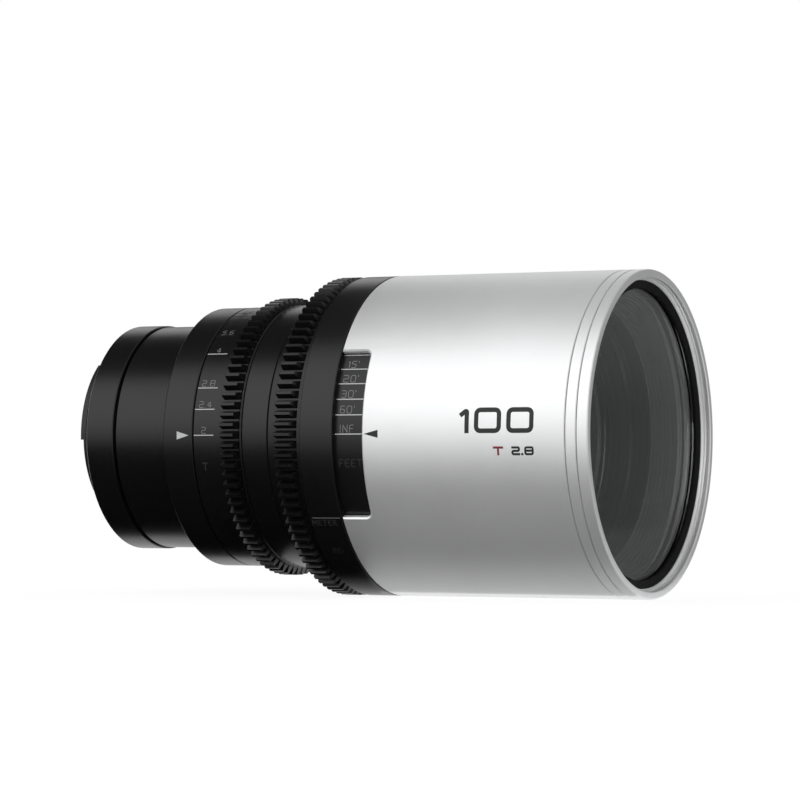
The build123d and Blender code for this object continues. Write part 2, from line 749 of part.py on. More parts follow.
def make_focus_cam_sleeve():
    sleeve = turned((hub_end, hub_bore_r), (hub_end, cam_flange_r), (cam_flange_end, cam_flange_r),
                    (cam_flange_end, cam_sleeve_r), (cam_sleeve_end, cam_sleeve_r),
                    (cam_sleeve_end, hub_bore_r))
    for degrees in around(ring_screw_count):
        sleeve -= axial_rod(ring_screw_r + fit_gap, hub_end - overrun, cam_flange_end + overrun,
                            screw_circle_r, degrees)
    middle_r = (hub_bore_r + cam_sleeve_r) / 2
    depth = cam_sleeve_r - hub_bore_r + 2 * overrun
    pitch = focus_travel * 360.0 / focus_turn_deg
    path = Helix(pitch, focus_travel, middle_r, lefthand=True)
    start = path @ 0
    profile = Plane(origin=start, x_dir=(1, 0, 0), z_dir=path % 0) * Rectangle(depth, 2 * slot_half)
    slot = Pos(roller_x, 0, 0) * Rot(0, 90, 0) * sweep(profile, path, is_frenet=True)
    for degrees in roller_degs:
        sleeve -= Rot(degrees + 90, 0, 0) * slot
        for turn_deg, travel in ((0, 0), (focus_turn_deg, focus_travel)):
            sleeve -= radial_rod(slot_half, hub_bore_r - overrun, cam_sleeve_r + overrun, roller_x + travel,
                                 degrees - turn_deg)
    return sleeve


# Focus cell: slides in the main tube, driven by three rollers in the cam slots
focus_cell_behind_roller = 18.0
focus_cell_len = 28.0
focus_cell_wall = 2.94
focus_lip_width = 2.0
focus_lip_len = 1.5
focus_rear_glass_len = 9.0
focus_rear_sags = (-3.2, 2.6)
focus_spacer_len = 3.0
focus_front_glass_len = 6.0
focus_front_sags = (1.2, 3.0)
focus_retainer_len = 3.5
focus_retainer_width = 2.5
roller_screw_r = 1.0
roller_screw_head_r = 1.6
roller_screw_head_len = 0.8
roller_screw_sink = 2.0

focus_cell_r = tube_bore_r - running_gap
focus_bore_r = focus_cell_r - focus_cell_wall
focus_lip_r = focus_bore_r - focus_lip_width
focus_retainer_open_r = focus_bore_r - focus_retainer_width
focus_cell_start = roller_x - focus_cell_behind_roller
focus_cell_end = focus_cell_start + focus_cell_len
focus_rear_back = focus_cell_start + focus_lip_len + abs(focus_rear_sags[0])
focus_rear_front = focus_rear_back + focus_rear_glass_len
focus_spacer_end = focus_rear_front + focus_spacer_len
focus_front_end = focus_spacer_end + focus_front_glass_len
focus_edge_r = focus_bore_r - fit_gap
roller_outer_r = cam_sleeve_r


def make_focus_cell():
    seat_x = face_x(focus_rear_back, focus_rear_sags[0], focus_edge_r, focus_lip_r)
    cell = turned((focus_cell_start, focus_lip_r), (focus_cell_start, focus_cell_r),
                  (focus_cell_end, focus_cell_r), (focus_cell_end, focus_bore_r),
                  (focus_rear_back - fit_gap, focus_bore_r), (seat_x - fit_gap, focus_lip_r))
    for degrees in roller_degs:
        cell -= radial_rod(roller_screw_r + fit_gap, focus_cell_r - roller_screw_sink - ring_gap,
                           focus_cell_r + overrun, roller_x, degrees)
    return cell


def make_focus_rear_element():
    return lens_element(focus_rear_back, focus_rear_front, focus_edge_r, *focus_rear_sags)


def make_focus_spacer():
    return lens_ring(focus_rear_front, focus_rear_sags[1], focus_spacer_end, focus_front_sags[0],
                     focus_edge_r, focus_lip_r)


def make_focus_front_element():
    return lens_element(focus_spacer_end, focus_front_end, focus_edge_r, *focus_front_sags)


def make_focus_retainer():
    return lens_ring(focus_front_end, focus_front_sags[1], focus_front_end + focus_retainer_len, 0,
                     focus_edge_r, focus_retainer_open_r)


def make_cam_rollers():
    rollers = []
    for degrees in roller_degs:
        roller = radial_rod(roller_r, tube_bore_r, roller_outer_r, roller_x, degrees)
        rollers.append(roller - radial_rod(roller_screw_r + fit_gap, tube_bore_r - overrun,
                                           roller_outer_r + overrun, roller_x, degrees))
    return rollers


def make_roller_screws():
    screws = []
    for degrees in roller_degs:
        screw = radial_rod(roller_screw_r, focus_cell_r - roller_screw_sink, roller_outer_r, roller_x,
                           degrees)
        head_end = roller_outer_r + roller_screw_head_len
        head = radial_rod(roller_screw_head_r, roller_outer_r, head_end, roller_x, degrees)
        slot = Box(2 * roller_screw_head_r + overrun, roller_screw_head_len, roller_screw_head_r / 3)
        head -= Rot(degrees, 0, 0) * Pos(roller_x, head_end, 0) * slot
        screws.append(screw + head)
    return screws


# Iris ring, its key and the scroll plate that drives the blades
key_height = 1.7
key_depth = 1.6
plate_edge_gap = 0.06
pivot_inset = 3.5
aperture_depth = 9.1
pivot_r = 0.5
drive_pin_r = 0.45
drive_lead_deg = 24.0
pin_end_gap = 0.1
rim_wall = 0.8
spanner_notch_half = 1.0

key_head_r = tube_r + key_height
key_root_r = tube_bore_r - key_depth
pivot_pitch_r = tube_bore_r - pivot_inset
aperture_r = pivot_pitch_r - aperture_depth


def make_iris_ring():
    gear = gear_blank(iris_teeth, iris_gear_start, iris_gear_end - iris_bevel_len, iris_gear_end)
    scale = ring(iris_start, iris_gear_start + fit_gap, hub_bore_r, iris_scale_r, edge_bevel)
    rim = ring(iris_gear_end - fit_gap, iris_end, hub_bore_r, collar_r, edge_bevel)
    body = gear + scale + rim
    body -= axial_rod(hub_bore_r, iris_start - overrun, iris_end + overrun, 0, 0)
    return body - key_shape(fit_gap)


def key_shape(grow):
    """Block that joins the iris ring to the scroll plate through the tube."""
    grow_deg = math.degrees(grow / key_head_r)
    half_len = key_len / 2 + grow
    return sector(key_x - half_len, key_x + half_len, key_root_r - grow, key_head_r + grow,
                  key_first_deg - key_half_deg - grow_deg, key_first_deg + key_half_deg + grow_deg)


def pin_path(turn_share):
    """Radius and angle of the first blade's drive pin in the scroll plate, from open at 0 to shut at 1."""
    arm = 2 * pivot_pitch_r * math.sin(math.radians(drive_lead_deg / 2))
    arm_deg = 90.0 + drive_lead_deg / 2 + blade_turn_deg * turn_share
    across = pivot_pitch_r + arm * math.cos(math.radians(arm_deg))
    along = arm * math.sin(math.radians(arm_deg))
    return math.hypot(across, along), math.degrees(math.atan2(along, across)) - iris_turn_deg * turn_share


def scroll_slot():
    """Spiral slot in which a drive pin runs, so that the blades turn in step with the ring."""
    samples = 25
    half_width = drive_pin_r + running_gap
    last = samples - 1
    centre = [Vector(*polar(*pin_path(step / last), scroll_start - overrun)) for step in range(samples)]
    inner, outer, heading = [], [], []
    for step in range(samples):
        along = centre[min(step + 1, last)] - centre[max(step - 1, 0)]
        along = along.normalized()
        across = Vector(0, -along.Z, along.Y)
        heading.append(along)
        inner.append(centre[step] + across * half_width)
        outer.append(centre[step] - across * half_width)
    tip = ThreePointArc(inner[-1], centre[-1] + heading[-1] * half_width, outer[-1])
    tail = ThreePointArc(outer[0], centre[0] - heading[0] * half_width, inner[0])
    outline = Spline(*inner) + tip + Spline(*outer[::-1]) + tail
    return extrude(make_face(outline), scroll_len + 2 * overrun, dir=(1, 0, 0))


def make_scroll_plate():
    plate = ring(scroll_start, scroll_end, aperture_r, tube_bore_r - plate_edge_gap)
    slot = scroll_slot()
    for degrees in around(blade_count):
        plate -= Rot(degrees, 0, 0) * slot
    return plate - key_shape(fit_gap)


def make_iris_base_plate():
    rim_inner_r = tube_bore_r - fit_gap - rim_wall
    rim_outer_r = tube_bore_r - fit_gap
    plate = turned((iris_seat, aperture_r), (iris_seat, rim_outer_r), (rim_end, rim_outer_r),
                   (rim_end, rim_inner_r), (blades_start, rim_inner_r), (blades_start, aperture_r))
    for degrees in around(blade_count):
        plate -= axial_rod(pivot_r + running_gap, iris_seat - overrun, blades_start + overrun, pivot_pitch_r,
                           degrees)
    return plate


def make_iris_retaining_ring():
    body = ring(iris_retainer_start, iris_retainer_end, aperture_r + cell_wall, tube_bore_r - fit_gap)
    for degrees in (0, 180):
        notch = Box(iris_retainer_len, 2 * overrun, 2 * spanner_notch_half)
        body -= Rot(degrees, 0, 0) * Pos(iris_retainer_end, aperture_r + cell_wall, 0) * notch
    return body


# Iris blades: thin crescents, each in its own layer, with a pivot pin and a drive pin
blade_layer_gap = 0.05
blade_cover = 0.2
blade_outer_inset = 2.5
blade_tail_width = 1.5
blade_from_deg = 10.0
blade_span_deg = 106.0
blade_ear_from_deg = -4.0
blade_ear_to_deg = 28.0
blade_pitch = (blade_room - blade_layer_gap) / blade_count
blade_thickness = blade_pitch - blade_layer_gap
blade_inner_r = aperture_r - blade_cover
blade_outer_r = pivot_pitch_r - blade_outer_inset
blade_tail_r = pivot_pitch_r + blade_tail_width


def make_iris_blade(index):
    start = blades_start + blade_layer_gap + index * blade_pitch
    end = start + blade_thickness
    blade = sector(start, end, blade_inner_r, blade_outer_r, blade_from_deg, blade_span_deg)
    blade += sector(start, end, blade_outer_r - overrun, blade_tail_r, blade_ear_from_deg, blade_ear_to_deg)
    blade += axial_rod(pivot_r, iris_seat + pin_end_gap, end, pivot_pitch_r, 0)
    blade += axial_rod(drive_pin_r, start, scroll_end - pin_end_gap, pivot_pitch_r, drive_lead_deg)
    return Rot(360.0 * index / blade_count, 0, 0) * blade


# Rear group, inserted from behind and held by its flange between the tube and the rear barrel
rear_cell_start_clearance = 1.3
rear_cell_wall = 1.5
rear_cell_clearance = 2.0
rear_element_len = 4.0
rear_element_sags = (-1.4, -2.2)
rear_retainer_len = 2.0
rear_retainer_width = 4.0
rear_stop_len = 2.0
rear_stop_width = 4.5
doublet_crown_len = 3.8
doublet_flint_len = 1.8
doublet_back_sag = 0.4
doublet_middle_sag = -1.2
doublet_front_sag = 1.2
doublet_retainer_len = 2.5

rear_cell_start = rear_web_end + rear_cell_start_clearance
rear_element_back = rear_cell_start + rear_retainer_len
rear_element_front = rear_element_back + rear_element_len
rear_cell_r = rear_bore_r - rear_cell_clearance
rear_glass_bore_r = rear_cell_r - rear_cell_wall
rear_retainer_open_r = rear_glass_bore_r - rear_retainer_width
rear_stop_r = rear_glass_bore_r - rear_stop_width
nose_r = tube_step_r - fit_gap
nose_bore_r = nose_r - rear_cell_wall
doublet_back = shoulder_start + rear_cell_wall
crown_end = doublet_back + doublet_crown_len
flint_end = crown_end + doublet_flint_len
rear_cell_end = flint_end + doublet_retainer_len
doublet_edge_r = nose_bore_r - fit_gap


def make_rear_cell():
    stop_end = rear_element_front + rear_stop_len
    crown_seat_x = face_x(doublet_back, doublet_back_sag, doublet_edge_r, rear_glass_bore_r) - fit_gap
    return turned((rear_cell_start, rear_glass_bore_r), (rear_cell_start, rear_cell_r - edge_bevel),
                  (rear_cell_start + edge_bevel, rear_cell_r),
                  (shoulder_start, rear_cell_r), (shoulder_start, cell_flange_bore_r - fit_gap),
                  (tube_start, cell_flange_bore_r - fit_gap), (tube_start, nose_r), (rear_cell_end, nose_r),
                  (rear_cell_end, nose_bore_r), (doublet_back, nose_bore_r),
                  (crown_seat_x, rear_glass_bore_r), (stop_end, rear_glass_bore_r),
                  (stop_end, rear_stop_r), (rear_element_front, rear_stop_r),
                  (rear_element_front, rear_glass_bore_r))


def make_rear_element():
    edge_r = rear_glass_bore_r - fit_gap
    return lens_element(rear_element_back, rear_element_front, edge_r, *rear_element_sags)


def make_rear_retainer():
    edge_r = rear_glass_bore_r - fit_gap
    return lens_ring(rear_cell_start, 0, rear_element_back, rear_element_sags[0], edge_r,
                     rear_retainer_open_r)


def make_doublet_crown():
    return lens_element(doublet_back, crown_end, doublet_edge_r, doublet_back_sag, doublet_middle_sag)


def make_doublet_flint():
    return lens_element(crown_end, flint_end, doublet_edge_r, doublet_middle_sag, doublet_front_sag)


def make_doublet_retainer():
    return lens_ring(flint_end, doublet_front_sag, rear_cell_end, 0, doublet_edge_r, rear_glass_bore_r)


nodes = {
    "bayonet_mount": make_bayonet_mount(),
    "mount_screws": make_mount_screws(),
    "flange_shim": make_flange_shim(),
    "mount_base": make_mount_base(),
    "base_screws": make_base_screws(),
    "rear_baffle": make_rear_baffle(),
    "rear_barrel": make_rear_barrel(),
    "rear_set_screws": make_rear_set_screws(),
    "rear_cell": make_rear_cell(),
    "rear_element": make_rear_element(),
    "rear_retainer": make_rear_retainer(),
    "doublet_crown": make_doublet_crown(),
    "doublet_flint": make_doublet_flint(),
    "doublet_retainer": make_doublet_retainer(),
    "main_tube": make_main_tube(),
    "focus_stop_pin": make_focus_stop_pin(),
    "centre_collar": make_centre_collar(),
    "collar_set_screws": make_collar_set_screws(),
    "iris_base_plate": make_iris_base_plate(),
    "iris_retaining_ring": make_iris_retaining_ring(),
    "front_barrel": make_front_barrel(),
    "barrel_screws": make_barrel_screws(),
    "front_set_screws": make_front_set_screws(),
    "front_spacer_ring": make_front_spacer_ring(),
    "filter_ring": make_filter_ring(),
    "front_cell": make_front_cell(),
    "front_glass": make_front_glass(),
    "front_retaining_ring": make_front_retaining_ring(),
    "front_baffle": make_front_baffle(),
    "second_retainer": make_second_retainer(),
    "second_element": make_second_element(),
    "third_element": make_third_element(),
    "third_retainer": make_third_retainer(),
    "focus_gear_ring": make_focus_gear_ring(),
    "focus_ring_screws": make_focus_ring_screws(),
    "focus_band": make_focus_band(),
    "focus_scale_sleeve": make_focus_scale_sleeve(),
    "focus_cam_sleeve": make_focus_cam_sleeve(),
    "focus_cell": make_focus_cell(),
    "focus_rear_element": make_focus_rear_element(),
    "focus_spacer": make_focus_spacer(),
    "focus_front_element": make_focus_front_element(),
    "focus_retainer": make_focus_retainer(),
    "cam_rollers": make_cam_rollers(),
    "roller_screws": make_roller_screws(),
    "iris_ring": make_iris_ring(),
    "iris_key": key_shape(0.0),
    "iris_scroll_plate": make_scroll_plate(),
}
for index in range(blade_count):
    nodes[f"iris_blade_{index + 1}"] = make_iris_blade(index)

os.makedirs("parts", exist_ok=True)
for name, shape in nodes.items():
    if isinstance(shape, list):
        shape = Compound(children=shape)
    export_step(shape, f"parts/{name}.step")
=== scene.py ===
import bpy
import json
import math
import numpy as np
from mathutils import Matrix, Vector


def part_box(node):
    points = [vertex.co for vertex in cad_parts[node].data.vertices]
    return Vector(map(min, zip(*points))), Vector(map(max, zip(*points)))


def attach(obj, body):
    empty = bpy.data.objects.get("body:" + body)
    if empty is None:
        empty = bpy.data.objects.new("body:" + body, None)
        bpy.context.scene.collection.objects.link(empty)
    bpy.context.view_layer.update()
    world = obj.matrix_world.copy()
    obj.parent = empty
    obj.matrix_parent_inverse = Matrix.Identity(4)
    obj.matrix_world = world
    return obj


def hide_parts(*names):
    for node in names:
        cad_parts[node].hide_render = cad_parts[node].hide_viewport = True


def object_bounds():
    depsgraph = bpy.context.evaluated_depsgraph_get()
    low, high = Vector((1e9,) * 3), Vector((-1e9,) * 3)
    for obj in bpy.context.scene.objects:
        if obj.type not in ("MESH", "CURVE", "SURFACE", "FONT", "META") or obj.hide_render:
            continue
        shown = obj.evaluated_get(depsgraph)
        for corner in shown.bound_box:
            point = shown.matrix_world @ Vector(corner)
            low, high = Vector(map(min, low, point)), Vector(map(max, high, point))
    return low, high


# Cinema prime lens. Everything is in metres on the lens's own axes: +X to the front glass, +Z up,
# marks on the -Y side. The settings below are in millimetres and degrees.
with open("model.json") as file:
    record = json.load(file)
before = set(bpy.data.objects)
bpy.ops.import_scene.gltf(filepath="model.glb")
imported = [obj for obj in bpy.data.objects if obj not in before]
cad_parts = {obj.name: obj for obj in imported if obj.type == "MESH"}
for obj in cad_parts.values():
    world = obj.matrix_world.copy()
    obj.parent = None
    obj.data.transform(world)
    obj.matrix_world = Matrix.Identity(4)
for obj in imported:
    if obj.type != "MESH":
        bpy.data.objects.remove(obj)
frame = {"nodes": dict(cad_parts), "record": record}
nodes = frame["nodes"]
cadBox = [list(corner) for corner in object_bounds()]
mm = 0.001
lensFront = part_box("filter_ring")[1].x
floorHeight = cadBox[0][2]
print("frame loaded,", len(nodes), "nodes, front face at", round(lensFront / mm, 2), "mm")


def outerRadius(node):
    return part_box(node)[1].y / mm


cameraPlan = {
    "azimuth": 26.5,        # round from square-on to the side
    "elevation": -1.26,
    "sensor": 36, "focal": 154.69,
    "distance": 831.61,     # from the front face, along the view
    "right": 61.209,        # the front face lies this far right of the middle
    "below": 8.3165,
    "clip": (50, 50000),    # nearest and furthest things that it sees
}


def placeCamera(plan):
    # The two angles give the view's right, ahead and up. The camera's place is measured from the front face.
    azimuth, elevation = math.radians(plan["azimuth"]), math.radians(plan["elevation"])
    right = Vector((math.cos(azimuth), math.sin(azimuth), 0))
    ahead = Vector((-math.sin(azimuth) * math.cos(elevation), math.cos(azimuth) * math.cos(elevation),
                    -math.sin(elevation)))
    up = right.cross(ahead)
    data = bpy.data.cameras.new("lensCamera")
    data.sensor_width, data.lens = plan["sensor"], plan["focal"]
    data.clip_start, data.clip_end = (reach * mm for reach in plan["clip"])
    camera = bpy.data.objects.new("lensCamera", data)
    away = plan["right"] * right - plan["below"] * up + plan["distance"] * ahead
    turn = Matrix((right, up, -ahead)).transposed().to_4x4()
    camera.matrix_world = Matrix.Translation(Vector((lensFront, 0, 0)) - mm * away) @ turn
    bpy.context.scene.collection.objects.link(camera)
    bpy.context.scene.camera = camera


placeCamera(cameraPlan)
print("camera placed")


def addNode(tree, kind, settings=None, **inputs):
    # An input is named, or given by its place as i0, i1 and so on. A value may be another node's output.
    node = tree.nodes.new(kind)
    for name, value in (settings or {}).items():
        setattr(node, name, value)
    for name, value in inputs.items():
        socket = node.inputs[int(name[1:])] if name[0] == "i" and name[1:].isdigit() else node.inputs[name]
        if isinstance(value, bpy.types.NodeSocket):
            tree.links.new(value, socket)
        else:
            socket.default_value = value
    return node


def mathNode(tree, operation, *values):
    return addNode(tree, "ShaderNodeMath", {"operation": operation},
                   **{f"i{k}": v for k, v in enumerate(values)}).outputs[0]


def mixColor(tree, share, first, second):
    return addNode(tree, "ShaderNodeMix", {"data_type": "RGBA"}, i0=share, i6=first, i7=second).outputs[2]


def placeGroup(tree, group, **inputs):
    return addNode(tree, "ShaderNodeGroup", {"node_tree": group}, **inputs).outputs


def newGroup(name, inputs, outputs):
    group = bpy.data.node_groups.new(name, "ShaderNodeTree")
    for label, value in inputs.items():
        socket = group.interface.new_socket(name=label, in_out="INPUT", socket_type="NodeSocketFloat")
        socket.default_value = value
    for label in outputs:
        group.interface.new_socket(name=label, in_out="OUTPUT", socket_type="NodeSocketFloat")
    return group, group.nodes.new("NodeGroupInput"), group.nodes.new("NodeGroupOutput")


def newMaterial(name):
    material = bpy.data.materials.new(name)
    material.use_nodes = True
    return material, material.node_tree, material.node_tree.nodes["Principled BSDF"]


def makeTurningMarks():
    # Fine rings left by the lathe: noise of the station and the distance from the axis.
    group, inside, out = newGroup("turningMarks", {"LinesPerMetre": 9000.0}, ["Height"])
    place = addNode(group, "ShaderNodeTexCoord").outputs["Object"]
    parts = addNode(group, "ShaderNodeSeparateXYZ", Vector=place).outputs
    across = addNode(group, "ShaderNodeCombineXYZ", Y=parts["Y"], Z=parts["Z"]).outputs[0]
    radius = addNode(group, "ShaderNodeVectorMath", {"operation": "LENGTH"}, i0=across).outputs["Value"]
    ringPlace = addNode(group, "ShaderNodeCombineXYZ", X=parts["X"], Y=radius).outputs[0]
    noise = addNode(group, "ShaderNodeTexNoise", Vector=ringPlace, Scale=inside.outputs["LinesPerMetre"],
                    Detail=2.0, Roughness=0.6)
    group.links.new(noise.outputs[0], out.inputs["Height"])
    return group


def makeBlastGrain():
    # Matt grain of a blasted and anodised skin, and the slow clouds that handling leaves in it.
    group, inside, out = newGroup("blastGrain", {"GrainsPerMetre": 7000.0, "CloudsPerMetre": 55.0},
                                  ["Height", "Clouds"])
    place = addNode(group, "ShaderNodeTexCoord").outputs["Object"]
    grain = addNode(group, "ShaderNodeTexNoise", Vector=place, Scale=inside.outputs["GrainsPerMetre"],
                    Detail=1.0)
    clouds = addNode(group, "ShaderNodeTexNoise", Vector=place, Scale=inside.outputs["CloudsPerMetre"],
                     Detail=4.0, Roughness=0.55)
    group.links.new(grain.outputs[0], out.inputs["Height"])
    group.links.new(clouds.outputs[0], out.inputs["Clouds"])
    return group


def makeEdgeWearAndHighlight():
    # Mask of worn outer edges, also used as a painted highlight along them: where a rounded normal leaves
    # the true one, broken up by noise.
    settings = {"Width": 0.2 * mm, "Gain": 6.0, "PatchesPerMetre": 900.0, "Amount": 1.0}
    group, inside, out = newGroup("edgeWearAndHighlight", settings, ["Mask"])
    rounded = addNode(group, "ShaderNodeBevel", {"samples": 4}, Radius=inside.outputs["Width"]).outputs[0]
    true = addNode(group, "ShaderNodeNewGeometry").outputs["Normal"]
    match = addNode(group, "ShaderNodeVectorMath", {"operation": "DOT_PRODUCT"}, i0=rounded, i1=true)
    bend = mathNode(group, "SUBTRACT", 1.0, match.outputs["Value"])
    place = addNode(group, "ShaderNodeTexCoord").outputs["Object"]
    patches = addNode(group, "ShaderNodeTexNoise", Vector=place, Scale=inside.outputs["PatchesPerMetre"],
                      Detail=3.0).outputs[0]
    wornAndLit = mathNode(group, "MULTIPLY", bend, inside.outputs["Gain"])
    broken = mathNode(group, "MULTIPLY", wornAndLit, patches)
    mask = mathNode(group, "MULTIPLY", broken, inside.outputs["Amount"])
    clamped = addNode(group, "ShaderNodeClamp", Value=mask).outputs[0]
    group.links.new(clamped, out.inputs["Mask"])
    return group


turningMarks, blastGrain, edgeWearAndHighlight = makeTurningMarks(), makeBlastGrain(), makeEdgeWearAndHighlight()

# Each finish: colour, how metallic, how rough, its grain and lathe marks, and the wear on its edges, which
# also paints a highlight along them
finishes = {
    "silverAnodised": {"color": (0.91, 0.915, 0.92), "metallic": 0.74, "roughness": 0.46,
                       "grainDepth": 0.0025, "marksDepth": 0.0012, "clouds": 0.05, "wearAndHighlight": 0.0},
    "blackAnodised": {"color": (0.006, 0.006, 0.0065), "metallic": 0.0, "roughness": 0.27, "specular": 0.43,
                      "grainDepth": 0.004, "marksDepth": 0.001, "clouds": 0.10, "wearAndHighlight": 0.12},
    "blackInner": {"color": (0.012, 0.012, 0.013), "metallic": 0.0, "roughness": 0.5, "specular": 0.25,
                   "grainDepth": 0.003, "marksDepth": 0.002, "clouds": 0.08, "wearAndHighlight": 0.25},
    "matBaffle": {"color": (0.005, 0.005, 0.005), "metallic": 0.0, "roughness": 0.6, "specular": 0.15,
                  "grainDepth": 0.01, "marksDepth": 0.0, "clouds": 0.10, "wearAndHighlight": 0.1},
    "groovedBaffle": {"color": (0.125, 0.128, 0.128), "metallic": 0.0, "roughness": 0.5,
                      "grainDepth": 0.003, "marksDepth": 0.002, "clouds": 0.08, "wearAndHighlight": 0.0},
    "satinSteel": {"color": (0.62, 0.62, 0.63), "metallic": 1.0, "roughness": 0.27,
                   "grainDepth": 0.0005, "marksDepth": 0.003, "clouds": 0.10, "wearAndHighlight": 0.0},
    "blackedSteel": {"color": (0.035, 0.036, 0.04), "metallic": 0.6, "roughness": 0.42,
                     "grainDepth": 0.002, "marksDepth": 0.001, "clouds": 0.10, "wearAndHighlight": 0.3},
    "turnedBrass": {"color": (0.72, 0.50, 0.20), "metallic": 1.0, "roughness": 0.25,
                    "grainDepth": 0.0005, "marksDepth": 0.002, "clouds": 0.08, "wearAndHighlight": 0.0},
    "shimBrass": {"color": (0.75, 0.56, 0.27), "metallic": 1.0, "roughness": 0.34,
                  "grainDepth": 0.001, "marksDepth": 0.001, "clouds": 0.08, "wearAndHighlight": 0.0},
}
# What all of the finishes share
skin = {
    "marksRoughness": 0.06,             # how much the lathe marks change the roughness
    "wornAndLitGain": 3, "wornAndLitLift": 0.06,    # a worn edge, with its painted highlight, is this many times brighter, and this much on top
    "wornPolish": 0.1,                  # and this much smoother
    "specular": 0.5,
}


def makeFinish(name):
    # Clouds shift the colour and roughness, grain and lathe marks bend the light, and wear brightens edges,
    # partly as real wear and partly as a painted highlight.
    plan = finishes[name]
    color, clouds = plan["color"], plan["clouds"]
    material, tree, shader = newMaterial(name)
    grain, marks = placeGroup(tree, blastGrain), placeGroup(tree, turningMarks)
    dark = [c * (1 - clouds) for c in color] + [1]
    light = [min(1, c * (1 + clouds)) for c in color] + [1]
    shade = mixColor(tree, grain["Clouds"], dark, light)
    cloudShift = mathNode(tree, "MULTIPLY_ADD", grain["Clouds"], clouds, plan["roughness"] - clouds / 2)
    rough = mathNode(tree, "MULTIPLY_ADD", marks["Height"], skin["marksRoughness"], cloudShift)
    # Edges are painted lighter: partly worn metal, partly a painted highlight where the edges catch the
    # light.
    if plan["wearAndHighlight"]:
        wearAndHighlight = placeGroup(tree, edgeWearAndHighlight, Amount=plan["wearAndHighlight"])["Mask"]
        wornAndLit = [min(1, c * skin["wornAndLitGain"] + skin["wornAndLitLift"]) for c in color] + [1]
        shade = mixColor(tree, wearAndHighlight, shade, wornAndLit)
        rough = mathNode(tree, "SUBTRACT", rough, mathNode(tree, "MULTIPLY", wearAndHighlight, skin["wornPolish"]))
    grainHeight = mathNode(tree, "MULTIPLY", grain["Height"], plan["grainDepth"])
    height = mathNode(tree, "MULTIPLY_ADD", marks["Height"], plan["marksDepth"], grainHeight)
    bump = addNode(tree, "ShaderNodeBump", Height=height, Distance=mm, Strength=1.0).outputs[0]
    tree.links.new(shade, shader.inputs["Base Color"])
    tree.links.new(rough, shader.inputs["Roughness"])
    tree.links.new(bump, shader.inputs["Normal"])
    shader.inputs["Metallic"].default_value = plan["metallic"]
    shader.inputs["Specular IOR Level"].default_value = plan.get("specular", skin["specular"])
    return material


# The inner elements reflect less, as coated glass does
glassPlan = {"frontGlass": {"index": 1.46, "smears": 0.01}, "innerGlass": {"index": 1.2, "smears": 0.005}}
glassTint = {"dark": (0.91, 0.95, 0.95, 1), "light": (0.95, 0.97, 0.97, 1), "cloudsPerMetre": 80.0}


def makeGlass(name):
    # Clear glass with a faint tint, and smears that blur it a little.
    plan = glassPlan[name]
    material, tree, shader = newMaterial(name)
    clouds = placeGroup(tree, blastGrain, CloudsPerMetre=glassTint["cloudsPerMetre"])["Clouds"]
    tint = mixColor(tree, clouds, glassTint["dark"], glassTint["light"])
    tree.links.new(tint, shader.inputs["Base Color"])
    tree.links.new(mathNode(tree, "MULTIPLY", clouds, plan["smears"]), shader.inputs["Roughness"])
    shader.inputs["IOR"].default_value = plan["index"]
    shader.inputs["Transmission Weight"].default_value = 1.0
    return material


# Each paint: its colour and roughness, and its slot of the record, which is the light metal's for marks on
# black rings and the dark metal's for marks on the silver barrel
paints = {
    "whiteFill": {"color": (0.78, 0.79, 0.80), "roughness": 0.5, "slot": "silver_anodised"},
    "greyFill": {"color": (0.30, 0.30, 0.31), "roughness": 0.5, "slot": "silver_anodised"},
    "faintFill": {"color": (0.045, 0.046, 0.048), "roughness": 0.5, "slot": "silver_anodised"},
    # White paint given almost black: painted shade for the marks high on the iris ring, which look dark
    # there against the bright sheen round them.
    "shadedWhiteFill": {"color": (0.030, 0.030, 0.031), "roughness": 0.6, "slot": "silver_anodised",
                 "specular": 0.05},
    "darkFill": {"color": (0.013, 0.013, 0.014), "roughness": 0.45, "slot": "black_anodised"},
    "redFill": {"color": (0.30, 0.015, 0.045), "roughness": 0.45, "slot": "black_anodised"},
}
# What all of the paints share
paintSkin = {
    "grainsPerMetre": 12000.0, "cloudsPerMetre": 900.0, "bumpDepth": 0.004,
    "thinShare": 0.72,      # where the paint is thin, this share of its colour is left
    "roughSwing": 0.15, "specular": 0.5,
}


def makePaint(name):
    # Paint with a fine grain, thinner in places.
    plan = paints[name]
    material, tree, shader = newMaterial(name)
    grain = placeGroup(tree, blastGrain, GrainsPerMetre=paintSkin["grainsPerMetre"],
                       CloudsPerMetre=paintSkin["cloudsPerMetre"])
    thin = [c * paintSkin["thinShare"] for c in plan["color"]] + [1]
    color = mixColor(tree, grain["Clouds"], thin, [*plan["color"], 1])
    rough = mathNode(tree, "MULTIPLY_ADD", grain["Clouds"], paintSkin["roughSwing"], plan["roughness"])
    bump = addNode(tree, "ShaderNodeBump", Height=grain["Height"], Distance=paintSkin["bumpDepth"] * mm)
    tree.links.new(color, shader.inputs["Base Color"])
    tree.links.new(rough, shader.inputs["Roughness"])
    tree.links.new(bump.outputs[0], shader.inputs["Normal"])
    shader.inputs["Specular IOR Level"].default_value = plan.get("specular", paintSkin["specular"])
    return material


# The finish of each slot of the record, and of the nodes that look different from the rest of their slot
slotFinish = {
    "steel": "satinSteel", "brass_shim": "shimBrass", "black_anodised": "blackAnodised",
    "black_inner": "blackInner", "silver_anodised": "silverAnodised", "brass_roller": "turnedBrass",
    "blade_steel": "blackedSteel", "baffle_black": "matBaffle", "optical_glass": "innerGlass",
}
nodeFinish = {"front_glass": "frontGlass", "front_baffle": "groovedBaffle"}
# Vertices this close are joined for shading, and bends sharper than this angle stay sharp
shading = {"weld": 0.001, "edgeAngle": 32}
materials = {name: makeFinish(name) for name in finishes}
materials.update({name: makePaint(name) for name in paints})
materials.update({name: makeGlass(name) for name in glassPlan})


def splitEdges(piece):
    piece.modifiers.new("edges", "EDGE_SPLIT").split_angle = math.radians(shading["edgeAngle"])


